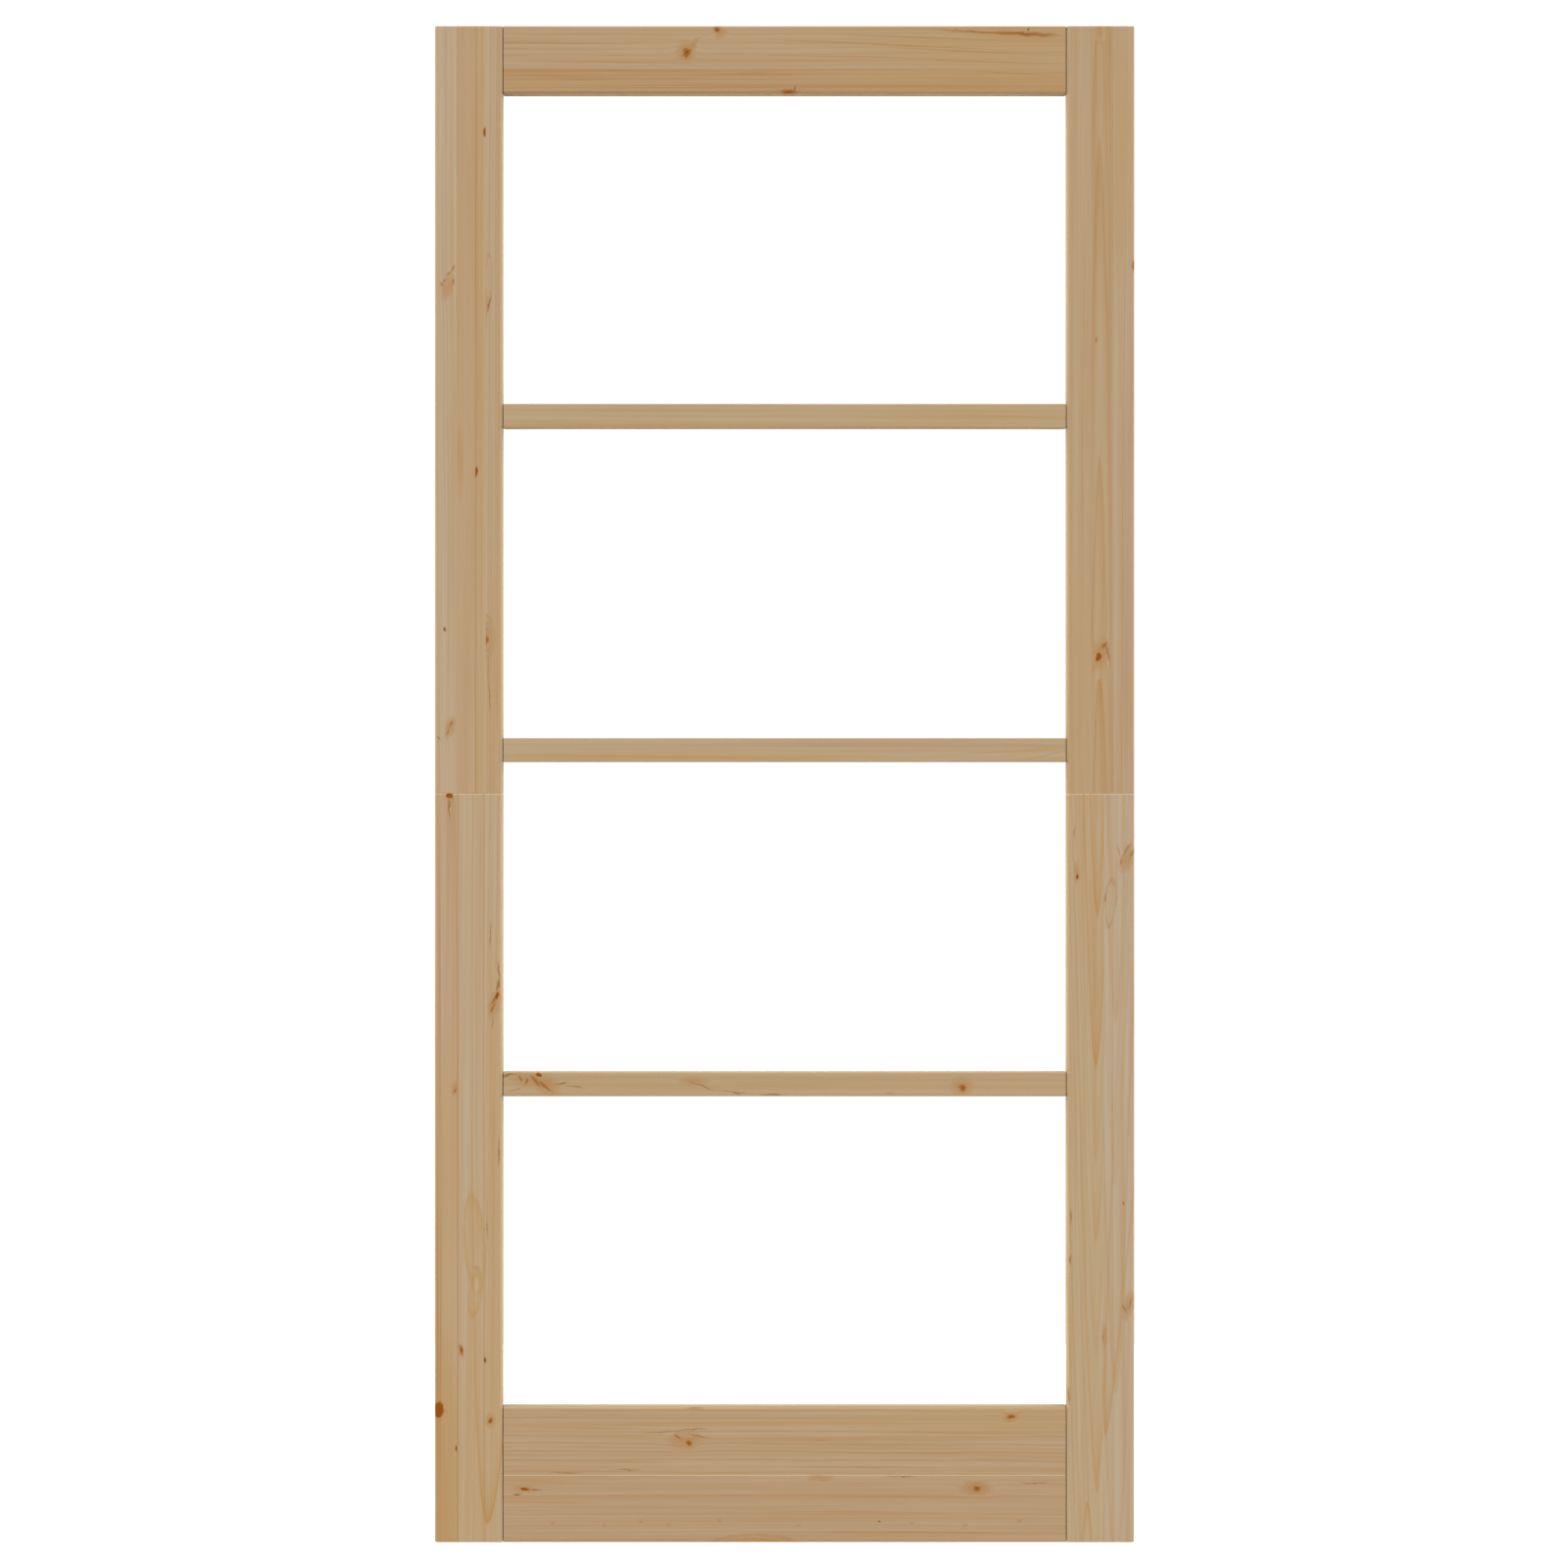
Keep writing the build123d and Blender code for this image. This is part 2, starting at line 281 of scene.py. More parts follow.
    # Growth rings: how far a point is from the stave's pith, which sways a little along the board.
    pith_sway = (8, 6, 0)
    section = add_node(tree, "ShaderNodeCombineXYZ", {0: across, 1: depth})
    pith = add_node(tree, "ShaderNodeCombineXYZ", {0: trait.outputs[0], 1: trait.outputs[1]})
    from_pith = add_node(tree, "ShaderNodeVectorMath", {0: section, 1: pith}, operation="SUBTRACT")
    lowered = (raised - pith_sway[0] / 2, raised - pith_sway[1] / 2, 0)
    centred = add_node(tree, "ShaderNodeVectorMath", {0: from_pith, 1: lowered}, operation="ADD")
    swayed = add_node(tree, "ShaderNodeVectorMath",
                      {0: sway.outputs["Color"], 1: pith_sway, 2: centred}, operation="MULTIPLY_ADD")
    radius = add_node(tree, "ShaderNodeVectorMath", {0: swayed}, operation="LENGTH").outputs["Value"]
    radius = add_node(tree, "ShaderNodeMath", {0: along, 1: taper, 2: radius}, operation="MULTIPLY_ADD")
    ripple_place = add_node(tree, "ShaderNodeVectorMath",
                            {0: grain, 1: (1 / 160, 1 / 25, 1 / 25)}, operation="MULTIPLY")
    waves = add_node(tree, "ShaderNodeTexNoise", {"Vector": ripple_place, "Scale": 1.0, "Detail": 2.0})
    radius = add_node(tree, "ShaderNodeMath", {0: waves, 1: 2 * ripple, 2: radius},
                      operation="MULTIPLY_ADD")
    for push, stops, away, inside in fields:
        if push:
            pushed = add_node(tree, "ShaderNodeMapRange",
                              {0: away, 1: 0.0, 2: 1.8, 3: push, 4: 0.0}, interpolation_type="SMOOTHSTEP")
            radius = add_node(tree, "ShaderNodeMath", {0: radius, 1: pushed}, operation="ADD")
    even = add_node(tree, "ShaderNodeMath", {0: radius, 1: trait.outputs[2]}, operation="DIVIDE")
    pace = add_node(tree, "ShaderNodeTexNoise", {"W": even, "Scale": 0.4, "Detail": 1.0},
                    noise_dimensions="1D")
    ring = add_node(tree, "ShaderNodeMath", {0: pace, 1: 1.5, 2: even}, operation="MULTIPLY_ADD")
    season = add_node(tree, "ShaderNodeMath", {0: ring}, operation="FRACT")
    year = add_node(tree, "ShaderNodeMath", {0: ring}, operation="FLOOR")
    weather = add_node(tree, "ShaderNodeTexWhiteNoise", {"W": year}, noise_dimensions="1D")
    late = add_node(tree, "ShaderNodeFloatCurve", {1: season})
    curve = late.mapping.curves[0]
    curve.points[0].location, curve.points[1].location = (0.0, 0.0), (1.0, 0.0)
    for point in ((0.4, 0.1), (0.75, 0.55), (0.92, 1.0)):
        curve.points.new(*point)
    late.mapping.update()
    vigour = add_node(tree, "ShaderNodeMapRange", {0: weather, 3: 0.35, 4: 1.0})
    vigour = add_node(tree, "ShaderNodeMath", {0: vigour, 1: late_tone.outputs["Alpha"]},
                      operation="MULTIPLY")
    latewood = add_node(tree, "ShaderNodeMath", {0: late, 1: vigour}, operation="MULTIPLY")

    # Colour: the stave's tone, warmer and paler bands along it, latewood lines, fibres, and then the marks.
    band_place = add_node(tree, "ShaderNodeVectorMath",
                          {0: grain, 1: (1 / 600, 1 / 9, 1 / 18)}, operation="MULTIPLY")
    band = add_node(tree, "ShaderNodeTexNoise", {"Vector": band_place, "Scale": 1.0, "Detail": 2.0})
    warmth = add_node(tree, "ShaderNodeMapRange", {0: band, 1: 0.4, 2: 0.7, 3: 0.0, 4: 0.35})
    colour = add_node(tree, "ShaderNodeMix", {0: warmth, 6: tone, 7: late_tone},
                      data_type="RGBA").outputs[2]
    colour = add_node(tree, "ShaderNodeMix", {0: latewood, 6: colour, 7: late_tone},
                      data_type="RGBA").outputs[2]
    fibre_place = add_node(tree, "ShaderNodeVectorMath",
                           {0: grain, 1: (1 / 80, 1 / 1.5, 1 / 1.5)}, operation="MULTIPLY")
    fibre = add_node(tree, "ShaderNodeTexNoise", {"Vector": fibre_place, "Scale": 1.0, "Detail": 2.0})
    lightness = add_node(tree, "ShaderNodeMapRange", {0: fibre, 1: 0.25, 2: 0.75, 3: 0.965, 4: 1.035})
    colour = add_node(tree, "ShaderNodeHueSaturation", {"Value": lightness, "Color": colour}).outputs[0]
    for push, stops, away, inside in fields:
        fade = add_node(tree, "ShaderNodeValToRGB", {0: away})
        set_stops(fade, [(place, linear(shade), cover) for place, shade, cover in stops])
        cover = add_node(tree, "ShaderNodeMath", {0: fade.outputs["Alpha"], 1: inside},
                         operation="MULTIPLY")
        colour = add_node(tree, "ShaderNodeMix", {0: cover, 6: colour, 7: fade.outputs["Color"]},
                          data_type="RGBA").outputs[2]

    # Sawn across, wood shows the open ends of its fibres, which take in light, so end grain is darker and
    # redder.
    facing = add_node(tree, "ShaderNodeSeparateXYZ", {0: place["Normal"]}).outputs["Z" if upright else "X"]
    facing = add_node(tree, "ShaderNodeMath", {0: facing}, operation="ABSOLUTE")
    sawn = add_node(tree, "ShaderNodeMapRange", {0: facing, 1: 0.85, 2: 1.0})
    colour = add_node(tree, "ShaderNodeMix", {0: sawn, 6: colour, 7: linear("#E4D0B3")},
                      data_type="RGBA", blend_type="MULTIPLY").outputs[2]
    tree.links.new(colour, shader.inputs["Base Color"])

    # Sanded wood is matt, a little smoother on the hard latewood, with fibres that can just be felt.
    polish = add_node(tree, "ShaderNodeMapRange", {0: latewood, 3: 0.75, 4: 0.6})
    tree.links.new(polish.outputs[0], shader.inputs["Roughness"])
    relief = add_node(tree, "ShaderNodeMath", {0: latewood, 1: 0.5, 2: fibre}, operation="MULTIPLY_ADD")
    bump = add_node(tree, "ShaderNodeBump", {"Strength": 0.15, "Distance": 0.0003, "Height": relief})
    tree.links.new(bump.outputs[0], shader.inputs["Normal"])
    shader.inputs["Specular IOR Level"].default_value = 0.05
    return material


left_upper_pine = pine(
    "laminated_pine_left_upper", True, 90,
    [(0, "#C1AB8E", "#B38A58", 0.3, -60, -10, 5.0, 0.004),
     (28.8, "#BEA07E", "#B98F5C", 0.15, 40, 30, 12.0, 0.004),
     (54, "#BFA683", "#B58446", 0.35, 130, -10, 3.5, 0.004),
     (68, "#BFA788", "#B0824C", 0.35, 140, -5, 4.5, 0.004)],
    0.7,
    [(line, 54.4, 1500, 2.8, full, 0), (streak, 57.0, 1500, 1.4, full, 0),
     (golden, 62.5, 1500, 5, full, 0),
     (dark_knot, 66.8, 1874, 5, 20, 0),
     (branch, 17, 1668, 20, 40, 16), (bark, 24.5, 1692, 5, 14, 25), (bark, 18.5, 1686, 4, 14, 55),
     (bark, 25, 1675, 3.5, 14, 10), (bark, 9, 1671, 3, 12, -35), (bark, 13, 1676, 3, 16, 40),
     (loop, 71.3, 1680, 10, 74, 0), (resin, 71.4, 1643, 3.4, 30, 12), (streak, 68.8, 1640, 2, 90, 0),
     (dark_knot, 54.4, 1423, 9, 20, 0), (warm, 34, 1440, 12, 130, 0),
     (pin_knot, 14.0, 1213, 4.5, 11, 0),
     (ringed_knot, 68, 1203, 25, 64, 0), (knot, 69.2, 1199, 8, 18, 0), (streak, 71.5, 1160, 6, 60, 0),
     (resin, 73, 1125, 2.4, 60, -3), (streak, 84, 1130, 1.8, 120, 0), (golden, 80, 1150, 24, 420, 0),
     (branch, 20, 1082, 16, 36, 12), (bark, 22, 1087, 4, 16, 20), (bark, 18, 1077, 3.5, 14, 30),
     (bark, 5, 1068, 4, 9, -40)])
left_lower_pine = pine(
    "laminated_pine_left_lower", True, 90,
    [(0, "#C1A888", "#AF7B40", 0.5, -50, -10, 3.5, 0.01),
     (31.5, "#C0AA8C", "#B88C56", 0.35, 150, -5, 6.0, 0.012)],
    0.9,
    # The first mark is the painted highlight along the seam arris.
    [(painted_seam_highlight, 45, 994, full, 2.2, 0), (golden, 14, 60, 50, 700, 0), (warm, 12, 60, 44, 560, 0),
     (golden, 60, 60, 90, 640, 0), (golden, 80, 440, 34, 900, 0), (golden, 14, 500, 60, 420, 0),
     (branch, 19.5, 983, 7, 18, 0), (dark_knot, 19.5, 991.5, 14, 11, 0), (resin, 19.6, 975, 3, 36, 0),
     (streak, 6.6, 770, 2.2, 460, 0),
     (streak, 30.2, 500, 3.0, full, 0), (streak, 55.5, 700, 2.0, 700, 0),
     (streak, 65.5, 600, 2.2, full, 0),
     (resin, 74, 806, 2.2, 44, 0), (branch, 80, 716, 20, 50, 15), (resin, 84.5, 762, 3, 34, -10),
     (resin, 77, 710, 4.5, 22, 30),
     (resin, 84, 740, 5, 30, 8), (resin, 80.5, 722, 6, 28, 35), (dark_knot, 83, 726, 7, 14, 15),
     (bark, 77, 690, 2, 24, 5), (branch, 27, 602, 10, 26, 10), (bark, 26, 600, 3, 16, 25),
     (streak, 3.5, 270, 7, 580, 0), (line, 7.9, 270, 2.2, 580, 0), (bark, 85, 519, 5, 46, 0),
     (golden, 54, 420, 22, 110, 0), (swirl, 53, 396, 32, 150, -4), (swirl, 54, 330, 20, 70, 8),
     (pale, 55, 341, 9, 26, 0),
     (branch, 55, 364, 9, 8, 0), (resin, 69.5, 416, 2, 34, 0), (streak, 69.8, 440, 1.6, 150, 0),
     (knot, 35.8, 255, 10, 26, -8), (pin_knot, 67.4, 242, 6, 11, 0), (dark_knot, 5.6, 176, 19, 32, 0),
     (branch, 74.5, 162, 14, 26, 0), (knot, 74, 161, 8, 16, 20), (pin_knot, 28.6, 124, 4.5, 14, 0),
     (cathedral, 69.3, 20, 47.4, 400, 2)])
right_upper_pine = pine(
    "laminated_pine_right_upper", True, 930,
    [(840, "#BDA382", "#B08654", 0.35, 780, -10, 3.0, 0.006),
     (872.6, "#BCA27E", "#B28045", 0.5, 884, -8, 5.0, 0.016),
     (897.4, "#BEA687", "#AE7E48", 0.4, 990, -5, 3.5, 0.008)],
    0.8,
    [(golden, 856, 1130, 40, 440, 0), (golden, 914, 1850, 40, 440, 0),
     (streak, 898.6, 1500, 2.2, full, 0), (streak, 901, 1500, 1.6, full, 0),
     (branch, 884, 2008, 10, 28, 0),
     (knot, 928, 1697, 7, 24, 0), (bark, 880, 1598, 4.5, 11, 0), (streak, 889, 1270, 2, 190, 0),
     (branch, 884, 1180, 26, 50, 15), (dark_knot, 882.2, 1176, 9, 18, 12),
     (resin, 890, 1192, 9, 14, 40),
     (resin, 893, 1184, 2.4, 40, -8), (resin, 896, 1178, 2, 46, -8)])
right_lower_pine = pine(
    "laminated_pine_right_lower", True, 930,
    [(840, "#BEA887", "#B78444", 0.45, 879, -9, 5.0, -0.026),
     (889, "#BFAB8F", "#B58750", 0.35, 905, -2, 6.0, -0.026)],
    0.8,
    # The first mark is the painted highlight along the seam arris.
    [(painted_seam_highlight, 885, 994, full, 2.2, 0), (cathedral, 880.5, 824, 27.4, 600, 0),
     (cathedral, 878.5, 622, 34.4, 746, 0),
     (cathedral, 890.9, 135, 26, 500, 4), (cathedral, 866.8, 57, 20, -234, 0),
     (branch, 853.5, 890, 10, 36, 0), (pin_knot, 853.8, 884, 6, 12, 0), (resin, 850, 944, 2.4, 22, 0),
     (branch, 920, 908, 22, 44, 20), (bark, 919.6, 920, 4.5, 30, 36), (bark, 926, 914, 4, 20, 25),
     (bark, 912, 904, 4, 14, 10),
     (bark, 909, 918, 2, 22, -12), (loop, 898, 849, 16, 74, 4), (bark, 891.3, 857, 3.4, 20, 0),
     (streak, 901, 560, 1.8, 860, 0), (pin_knot, 915.6, 451, 4, 10, 0), (bark, 844.8, 432, 4, 30, 0),
     (bark, 844.8, 375, 3, 20, 0), (branch, 922, 314, 18, 46, 15), (bark, 925, 318, 4, 22, 25),
     (bark, 917, 310, 3, 20, -30), (branch, 889.8, 274, 9, 36, 0), (bark, 888.5, 273, 3.4, 22, 0),
     (bark, 843.5, 195, 5, 30, 0)])
inner_edges = (stile_width, leaf_width - stile_width)
light_height, light_rise, lowest_light_foot = 412.25 * mm, 444.25 * mm, 180 * mm
light_feet = [lowest_light_foot + light_rise * number for number in range(4)]
lights = [(foot, foot + light_height) for foot in light_feet]
seam_lower_arris, seam_upper_arris = 0.6 * mm, 0.2 * mm
half = leaf_thickness / 2
for side, low_x, arrises, grooved, lower_pine, upper_pine in (
        ("left", 0, (outer_arris, light_arris), (False, True), left_lower_pine, left_upper_pine),
        ("right", inner_edges[1], (light_arris, outer_arris), (True, False),
         right_lower_pine, right_upper_pine)):
    lower = planed_board((low_x, -half, 0), (low_x + stile_width, half, stile_seam), 2,
                         arrises, (outer_arris, seam_lower_arris), grooved, lights)
    fit(lower, f"{side}_lower_stile", lower_pine)
    upper = planed_board((low_x, -half, stile_seam), (low_x + stile_width, half, leaf_height), 2,
                         arrises, (seam_upper_arris, outer_arris), grooved, lights)
    fit(upper, f"{side}_upper_stile", upper_pine)

# The top rail: one laminated board between the stiles, pale wood over a narrower, redder stave. Its core
# meets the stiles and its faces stop a little short of them, which leaves a thin dark line at each
# shoulder.
rail_height = 90 * mm
shoulder_gap, shoulder_gap_depth = 1.1 * mm, 5 * mm
shoulder_arris = 0.8 * mm


def cross_board(foot, head, arrises, grooved):
    """A rail or bar between the stiles, with the shadow gap at both of its shoulders, as a bmesh."""
    ends = (inner_edges[0] + shoulder_gap, inner_edges[1] - shoulder_gap)
    board = planed_board((ends[0], -half, foot), (ends[1], half, head), 0,
                         arrises, (shoulder_arris, shoulder_arris), grooved)
    core = half - shoulder_gap_depth
    cut_apart(board, core)
    for end, outward in zip(ends, (-1, 1)):
        push_strip(board, 0, end, core, outward * shoulder_gap)
    return board


top_rail_pine = pine(
    "laminated_pine_top_rail", False, 2015,
    [(1925, "#BB9B74", "#AA763C", 0.65, 2100, -10, 4.0, 0.004),
     (1957.5, "#BCA17F", "#B18450", 0.55, 2150, -40, 8.0, 0.004)],
    2.5,
    [(golden, 740, 1985, 420, 70, 0), (golden, 720, 1941, 420, 50, 0),
     (branch, 333, 1981, 30, 36, 0), (branch, 344, 1990, 8, 30, 35),
     (knot, 335, 1980, 22, 23, 30), (resin, 336, 1976, 6, 15, 40), (branch, 380, 2005, 20, 18, -20),
     (knot, 376, 2010.5, 16, 14, 0), (branch, 471, 1928, 46, 11, 0), (knot, 471, 1928, 34, 9, 0),
     (resin, 471, 1926.5, 30, 4.4, 0),
     (resin, 479, 1931, 3, 13, -10), (warm, 770, 2003.5, 170, 16, 2.3),
     (resin, 735, 2006.5, 180, 4.2, 2.3),
     (resin, 788, 2004.0, 124, 8, 2.4), (pin_knot, 790, 2010, 6, 4, 0), (streak, 426, 1953, 80, 3, -3),
     (streak, 203, 1943.3, 90, 3, 0), (streak, 150, 1949, 110, 2.4, 2),
     (streak, 300, 1949.4, 460, 2.0, 0),
     (streak, 420, 1936.3, 760, 2.2, 0), (streak, 640, 2000, 330, 3.2, 2),
     (streak, 600, 1990, 420, 3.2, 2.5),
     (streak, 560, 1974, 380, 3, 1), (streak, 240, 1955.6, 380, 3, 0.4),
     (streak, 180, 1945.8, 220, 3, -0.5),
     (streak, 420, 1951, 260, 3, 0.6), (streak, 640, 1934, 330, 3, 0.4), (streak, 760, 1952, 150, 3, 3),
     (streak, 700, 1982, 300, 3, 2.6), (streak, 720, 1968, 260, 3, 1.5),
     (streak, 160, 1992, 300, 3, 0.6),
     (streak, 250, 1966, 320, 2.6, 0.4)])
fit(cross_board(leaf_height - rail_height, leaf_height, (light_arris, outer_arris), (True, False)),
    "top_rail", top_rail_pine)

# The bottom rail: two laminated boards, one on the other, doweled together. Their arrises are only just
# taken off where they meet, and a painted highlight along the lower board's arris makes the seam show as
# one fine pale line.
upper_board_pine = pine(
    "laminated_pine_bottom_upper", False, 180,
    [(90, "#BCA281", "#B08350", 0.6, 60, -60, 5.0, 0.003)], 2.5,
    [(golden, 720, 160, 420, 50, 0), (warm, 380, 157, 700, 6, 0), (streak, 420, 146.6, 800, 2.0, 0),
     (streak, 420, 137.5, 800, 2.0, 0),
     (branch, 332, 135, 54, 28, 0), (bark, 352, 141, 40, 2.6, 12), (bark, 338, 149, 60, 2.8, -5),
     (knot, 338.4, 131, 19, 15, 20), (resin, 323, 140, 16, 4, 25), (bark, 300, 146, 60, 2.2, -4),
     (branch, 765.5, 166, 26, 15, -10), (knot, 765.5, 166, 21, 13, -20), (bark, 257, 95.5, 44, 2.6, 0),
     (bark, 175, 91.5, 60, 3.4, 0), (streak, 512, 135, 40, 2.2, 0), (bark, 345, 178, 34, 3, 0),
     (streak, 200, 152, 220, 2.8, 0.5),
     (streak, 215, 140.5, 260, 3, 0), (streak, 640, 118, 380, 2.8, 0),
     (streak, 250, 107, 200, 2.6, 0.5),
     (streak, 700, 145, 300, 2.8, 0.4), (streak, 560, 99, 300, 2.8, 0)])
fit(cross_board(rail_height, 2 * rail_height, (seam_upper_arris, light_arris), (False, True)),
    "bottom_rail_upper_board", upper_board_pine)
lower_board_pine = pine(
    "laminated_pine_bottom_lower", False, 90,
    [(0, "#BB9F7E", "#B18350", 0.5, -90, -60, 4.5, 0.003)], 1.2,
    # The first mark is the painted highlight along the seam arris.
    [(painted_seam_highlight, 465, 89, full, 2.2, 0), (warm, 130, 81, 160, 8, 2), (branch, 119, 70, 40, 12, 6),
     (dark_knot, 119, 70, 16, 7, 8),
     (resin, 132, 70, 30, 2.6, 8), (pin_knot, 109, 63, 16, 5, 0),
     (branch, 513, 85, 40, 9, 0), (warm, 430, 2, 100, 12, 0), (loop, 424, -3, 130, 30, 0),
     (loop, 420, -4, 90, 20, 0),
     (streak, 150, 52, 200, 2.4, 0.8), (streak, 640, 60, 380, 2.6, 0.3), (streak, 620, 13, 420, 3, 0),
     (streak, 560, 40, 300, 2.6, 0.6), (pin_knot, 590, 27, 6, 5, 0), (bark, 623, 87, 60, 2.6, 0),
     (branch, 719, 71.5, 52, 24, 0),
     (ringed_knot, 720, 71.5, 36, 17, 3), (knot, 721, 71.5, 19, 12, 8), (resin, 799, 78.4, 52, 2.2, 0)]
    + [(branch, x, z, 9, 5, 0) for x, z in (
        (157, 24), (226, 22), (274, 27), (311, 23), (379, 27), (483, 22), (634, 25), (705, 22),
        (777, 28))])
fit(cross_board(0, rail_height, (outer_arris, seam_lower_arris), (False, False)),
    "bottom_rail_lower_board", lower_board_pine)

# The glazing bars: three slim level boards of the same pine, planed and sanded like the rest, grooved above
# and below for the panes and doweled into the stiles.
bar_height = 32 * mm
bar_arris = 1.2 * mm
bar_tones = {1: "#BDA380", 2: "#BEA685", 3: "#BEA685"}
bar_marks = {
    1: [(branch, 126, 614, 66, 26, 12), (branch, 150, 607, 44, 30, 35), (resin, 134, 613, 30, 7, 50),
        (resin, 146, 606, 34, 6, 40), (dark_knot, 138, 621, 11, 8, 0), (resin, 98, 620.5, 36, 5, -10),
        (resin, 114, 616, 5, 14, -20), (resin, 122, 613, 4, 16, 20), (bark, 106, 601, 24, 2.4, -14),
        (resin, 168, 609, 24, 3.4, -10), (bark, 188, 605, 40, 2.4, 8), (branch, 344, 613, 44, 14, 0),
        (bark, 356, 606, 50, 3, 20), (bark, 400, 597.5, 60, 2.6, 6), (resin, 449, 594.8, 44, 3.4, 0),
        (streak, 605, 596, 18, 3, 0), (branch, 700, 606, 36, 30, 0), (knot, 701.5, 603, 17, 21, 0)],
    2: [(golden, 330, 1043, 760, 14, 0), (warm, 300, 1043, 560, 4, 1), (streak, 760, 1050, 210, 2, -3),
        (golden, 800, 1052, 120, 10, -8), (streak, 815, 1046, 66, 2, -14)],
    3: [(golden, 330, 1486, 760, 10, 0), (warm, 330, 1485, 620, 4, 0), (streak, 760, 1496, 200, 2, 2),
        (golden, 720, 1497, 400, 40, 0)]}
for number in (1, 2, 3):
    foot = lights[number - 1][1]
    head = foot + bar_height
    pith_across = foot / mm - 60 - 15 * number
    stave = (foot / mm, bar_tones[number], "#B38A58", 0.25, pith_across, -50, 8.0, 0.004)
    bar_pine = pine(f"laminated_pine_bar_{number}", False, head / mm, [stave], 2.0, bar_marks[number])
    fit(cross_board(foot, head, (bar_arris, bar_arris), (True, True)), f"glazing_bar_{number}", bar_pine)

# The panes: clear toughened float glass with ground arrises, held in the grooves of the boards. Float glass
# has a faint green cast, and toughening leaves long shallow waves that only bend reflections a little. The
# studio's light goes straight through it to the arrises behind.
glass = bpy.data.materials.new("clear_toughened_float_glass")
glass.use_nodes = True
tree = glass.node_tree
shader = tree.nodes["Principled BSDF"]
shader.inputs["Base Color"].default_value = linear("#F8FDFB")
shader.inputs["IOR"].default_value = 1.5
shader.inputs["Transmission Weight"].default_value = 1.0
place = add_node(tree, "ShaderNodeTexCoord", {}).outputs["Object"]
roller_wave, breath = 250 * mm, 60 * mm
waves = add_node(tree, "ShaderNodeTexNoise", {"Vector": place, "Scale": 1 / roller_wave, "Detail": 0.0})
bump = add_node(tree, "ShaderNodeBump", {"Strength": 0.1, "Distance": 0.0001, "Height": waves})
tree.links.new(bump.outputs[0], shader.inputs["Normal"])
film = add_node(tree, "ShaderNodeTexNoise", {"Vector": place, "Scale": 1 / breath, "Detail": 3.0})
film = add_node(tree, "ShaderNodeMapRange", {0: film, 1: 0.45, 2: 0.8, 3: 0.0, 4: 0.012})
tree.links.new(film.outputs[0], shader.inputs["Roughness"])
for number in (1, 2, 3, 4):
    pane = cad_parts[f"glass_pane_{number}"]
    pane.material_slots[0].material = glass
    pane.visible_shadow = False
    pane.visible_diffuse = False

# The seals: a channel of milky silicone rubber round the edge of each pane, pushed with it into the
# grooves. It is extruded, so it has a soft dull gloss and fine draw lines, and looks a little uneven.
silicone = bpy.data.materials.new("extruded_milky_silicone")
silicone.use_nodes = True
tree = silicone.node_tree
shader = tree.nodes["Principled BSDF"]
place = add_node(tree, "ShaderNodeTexCoord", {}).outputs["Object"]
cloud, draw_line = 12 * mm, 1.2 * mm
milk = add_node(tree, "ShaderNodeTexNoise", {"Vector": place, "Scale": 1 / cloud, "Detail": 2.0})
milky = add_node(tree, "ShaderNodeMix", {0: milk, 6: linear("#B6B2A7"), 7: linear("#CCC8BE")},
                 data_type="RGBA")
tree.links.new(milky.outputs[2], shader.inputs["Base Color"])
dull = add_node(tree, "ShaderNodeMapRange", {0: milk, 3: 0.4, 4: 0.6})
tree.links.new(dull.outputs[0], shader.inputs["Roughness"])
drawn = add_node(tree, "ShaderNodeTexNoise", {"Vector": place, "Scale": 1 / draw_line, "Detail": 1.0})
bump = add_node(tree, "ShaderNodeBump", {"Strength": 0.1, "Distance": 0.0001, "Height": drawn})
tree.links.new(bump.outputs[0], shader.inputs["Normal"])
shader.inputs["IOR"].default_value = 1.41
for number in (1, 2, 3, 4):
    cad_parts[f"glazing_seal_{number}"].material_slots[0].material = silicone

# The dowels: turned beech pegs, glued into bores across every joint. Beech is pink-brown and close-grained,
# with short darker flecks along it.
beech = bpy.data.materials.new("turned_beech")
beech.use_nodes = True
tree = beech.node_tree
shader = tree.nodes["Principled BSDF"]
place = add_node(tree, "ShaderNodeTexCoord", {}).outputs["Object"]
fleck = 1.5 * mm
flecks = add_node(tree, "ShaderNodeTexNoise", {"Vector": place, "Scale": 1 / fleck, "Detail": 2.0})
fleck_cover = add_node(tree, "ShaderNodeMapRange", {0: flecks, 1: 0.5, 2: 0.7})
pegs = add_node(tree, "ShaderNodeMix", {0: fleck_cover, 6: linear("#C79D75"), 7: linear("#A67850")},
                data_type="RGBA")
tree.links.new(pegs.outputs[2], shader.inputs["Base Color"])
turned = add_node(tree, "ShaderNodeMapRange", {0: flecks, 3: 0.5, 4: 0.65})
tree.links.new(turned.outputs[0], shader.inputs["Roughness"])
bump = add_node(tree, "ShaderNodeBump", {"Strength": 0.15, "Distance": 0.0002, "Height": flecks})
tree.links.new(bump.outputs[0], shader.inputs["Normal"])
for node in ("left_splice_dowels", "right_splice_dowels", "top_rail_dowels", "bottom_rail_dowels",
             "bottom_board_dowels", "glazing_bar_dowels"):
    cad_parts[node].material_slots[0].material = beech

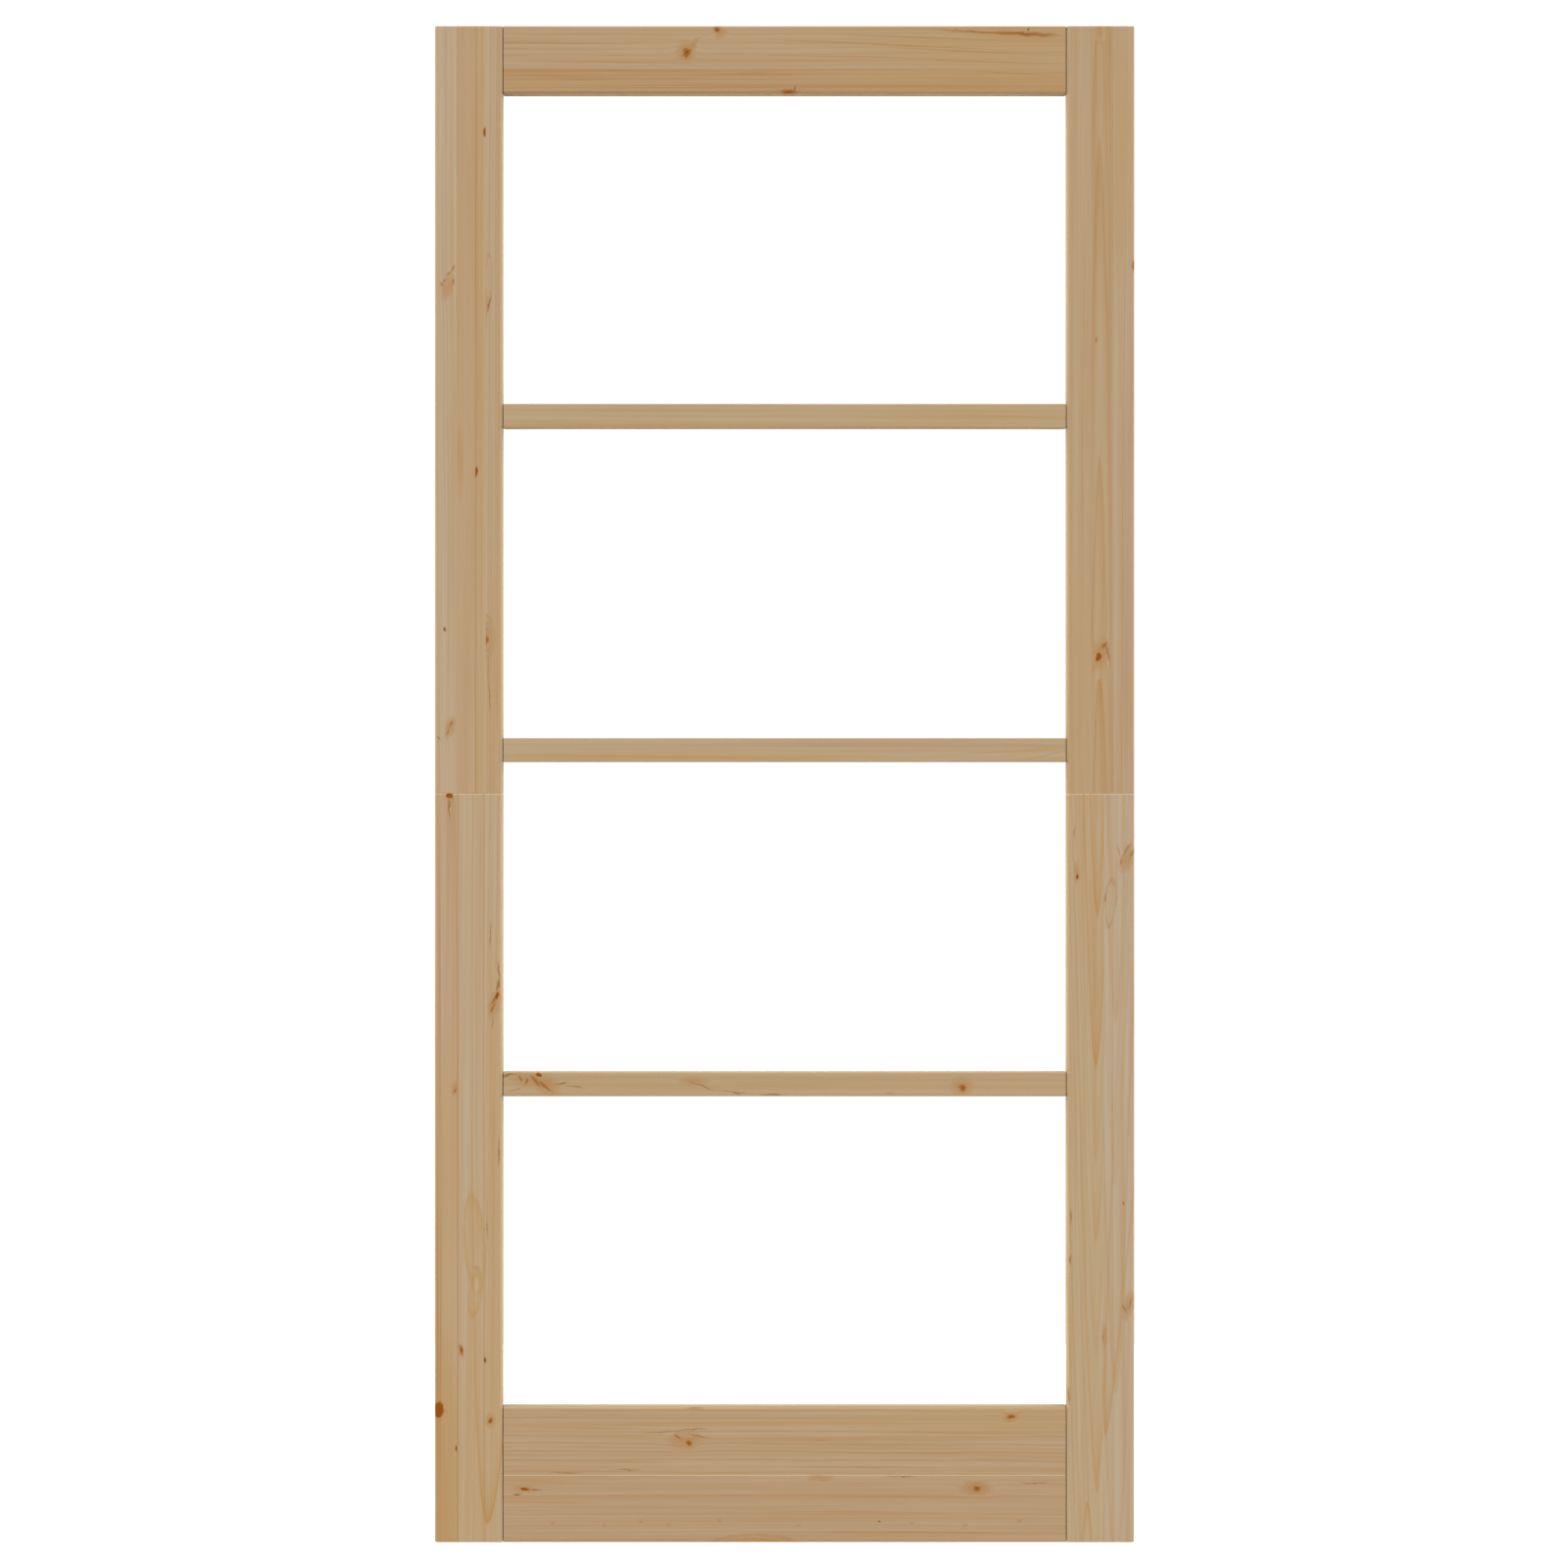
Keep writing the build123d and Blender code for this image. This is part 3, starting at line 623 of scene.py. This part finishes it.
# The floor: a pale studio floor under the leaf's foot, lit up so that it has no shadow or tint. It throws
# no light back at the leaf, because the studio's own light from below stands for that.
bpy.ops.mesh.primitive_plane_add(size=6.0, location=(leaf_width / 2, 0.0, -1 * mm))
floor = bpy.context.object
floor.name = "studio_floor"
floor.visible_diffuse = False
floor.visible_shadow = False
paint = bpy.data.materials.new("white_floor_paint")
paint.use_nodes = True
shader = paint.node_tree.nodes["Principled BSDF"]
shader.inputs["Base Color"].default_value = linear("#F2F2F0")
shader.inputs["Roughness"].default_value = 0.9
shader.inputs["Emission Color"].default_value = linear("#FFFFFF")
shader.inputs["Emission Strength"].default_value = 0.5
floor.data.materials.append(paint)

# The light: a white studio with lit walls at both sides, and somewhat brighter above than below. It is dim
# towards the camera, so the arrises catch more light than the faces. Past the leaf all is white.
base_glow, past_glow, wall_glow = 0.242, 0.6, 2.3
ceiling_glow, height_glow = 0.6, 0.5
backdrop_glow = 1.15
world = bpy.data.worlds.new("white_studio")
bpy.context.scene.world = world
world.use_nodes = True
sky = world.node_tree
direction = add_node(sky, "ShaderNodeTexCoord", {}).outputs["Generated"]
way = add_node(sky, "ShaderNodeSeparateXYZ", {0: direction})
aside, past, up = way.outputs
past = add_node(sky, "ShaderNodeMath", {0: past, 1: 0.0}, operation="MAXIMUM")
past = add_node(sky, "ShaderNodeMath", {0: past, 1: 8.0}, operation="POWER")
glow = add_node(sky, "ShaderNodeMath", {0: past, 1: past_glow, 2: base_glow}, operation="MULTIPLY_ADD")
walls = add_node(sky, "ShaderNodeMath", {0: aside, 1: aside}, operation="MULTIPLY")
glow = add_node(sky, "ShaderNodeMath", {0: walls, 1: wall_glow, 2: glow}, operation="MULTIPLY_ADD")
height = add_node(sky, "ShaderNodeMath", {0: up, 1: ceiling_glow, 2: height_glow}, operation="MULTIPLY_ADD")
glow = add_node(sky, "ShaderNodeMath", {0: up, 1: height, 2: glow}, operation="MULTIPLY_ADD")
studio = add_node(sky, "ShaderNodeBackground", {"Color": (1, 1, 1, 1), "Strength": glow})
backdrop = add_node(sky, "ShaderNodeBackground", {"Color": (1, 1, 1, 1), "Strength": backdrop_glow})
path = add_node(sky, "ShaderNodeLightPath", {})
seen = add_node(sky, "ShaderNodeMath",
                {0: path.outputs["Is Camera Ray"], 1: path.outputs["Is Transmission Ray"]},
                operation="MAXIMUM")
mixed = add_node(sky, "ShaderNodeMixShader", {0: seen, 1: studio, 2: backdrop})
sky.links.new(mixed.outputs[0], sky.nodes["World Output"].inputs["Surface"])
bpy.context.scene.view_settings.view_transform = "Standard"

# The camera: square on to the front face, far off with a long lens, as in the photograph.
camera = bpy.data.objects.new("camera", bpy.data.cameras.new("camera"))
bpy.context.scene.collection.objects.link(camera)
bpy.context.scene.camera = camera
distance = 8.5
seen_width = 2.0839
camera.location = (0.4642, -half - distance, 1.0074)
camera.rotation_euler = (math.radians(90), 0, 0)
camera.data.sensor_width = 36.0
camera.data.lens = camera.data.sensor_width * distance / seen_width
camera.data.clip_end = 100.0
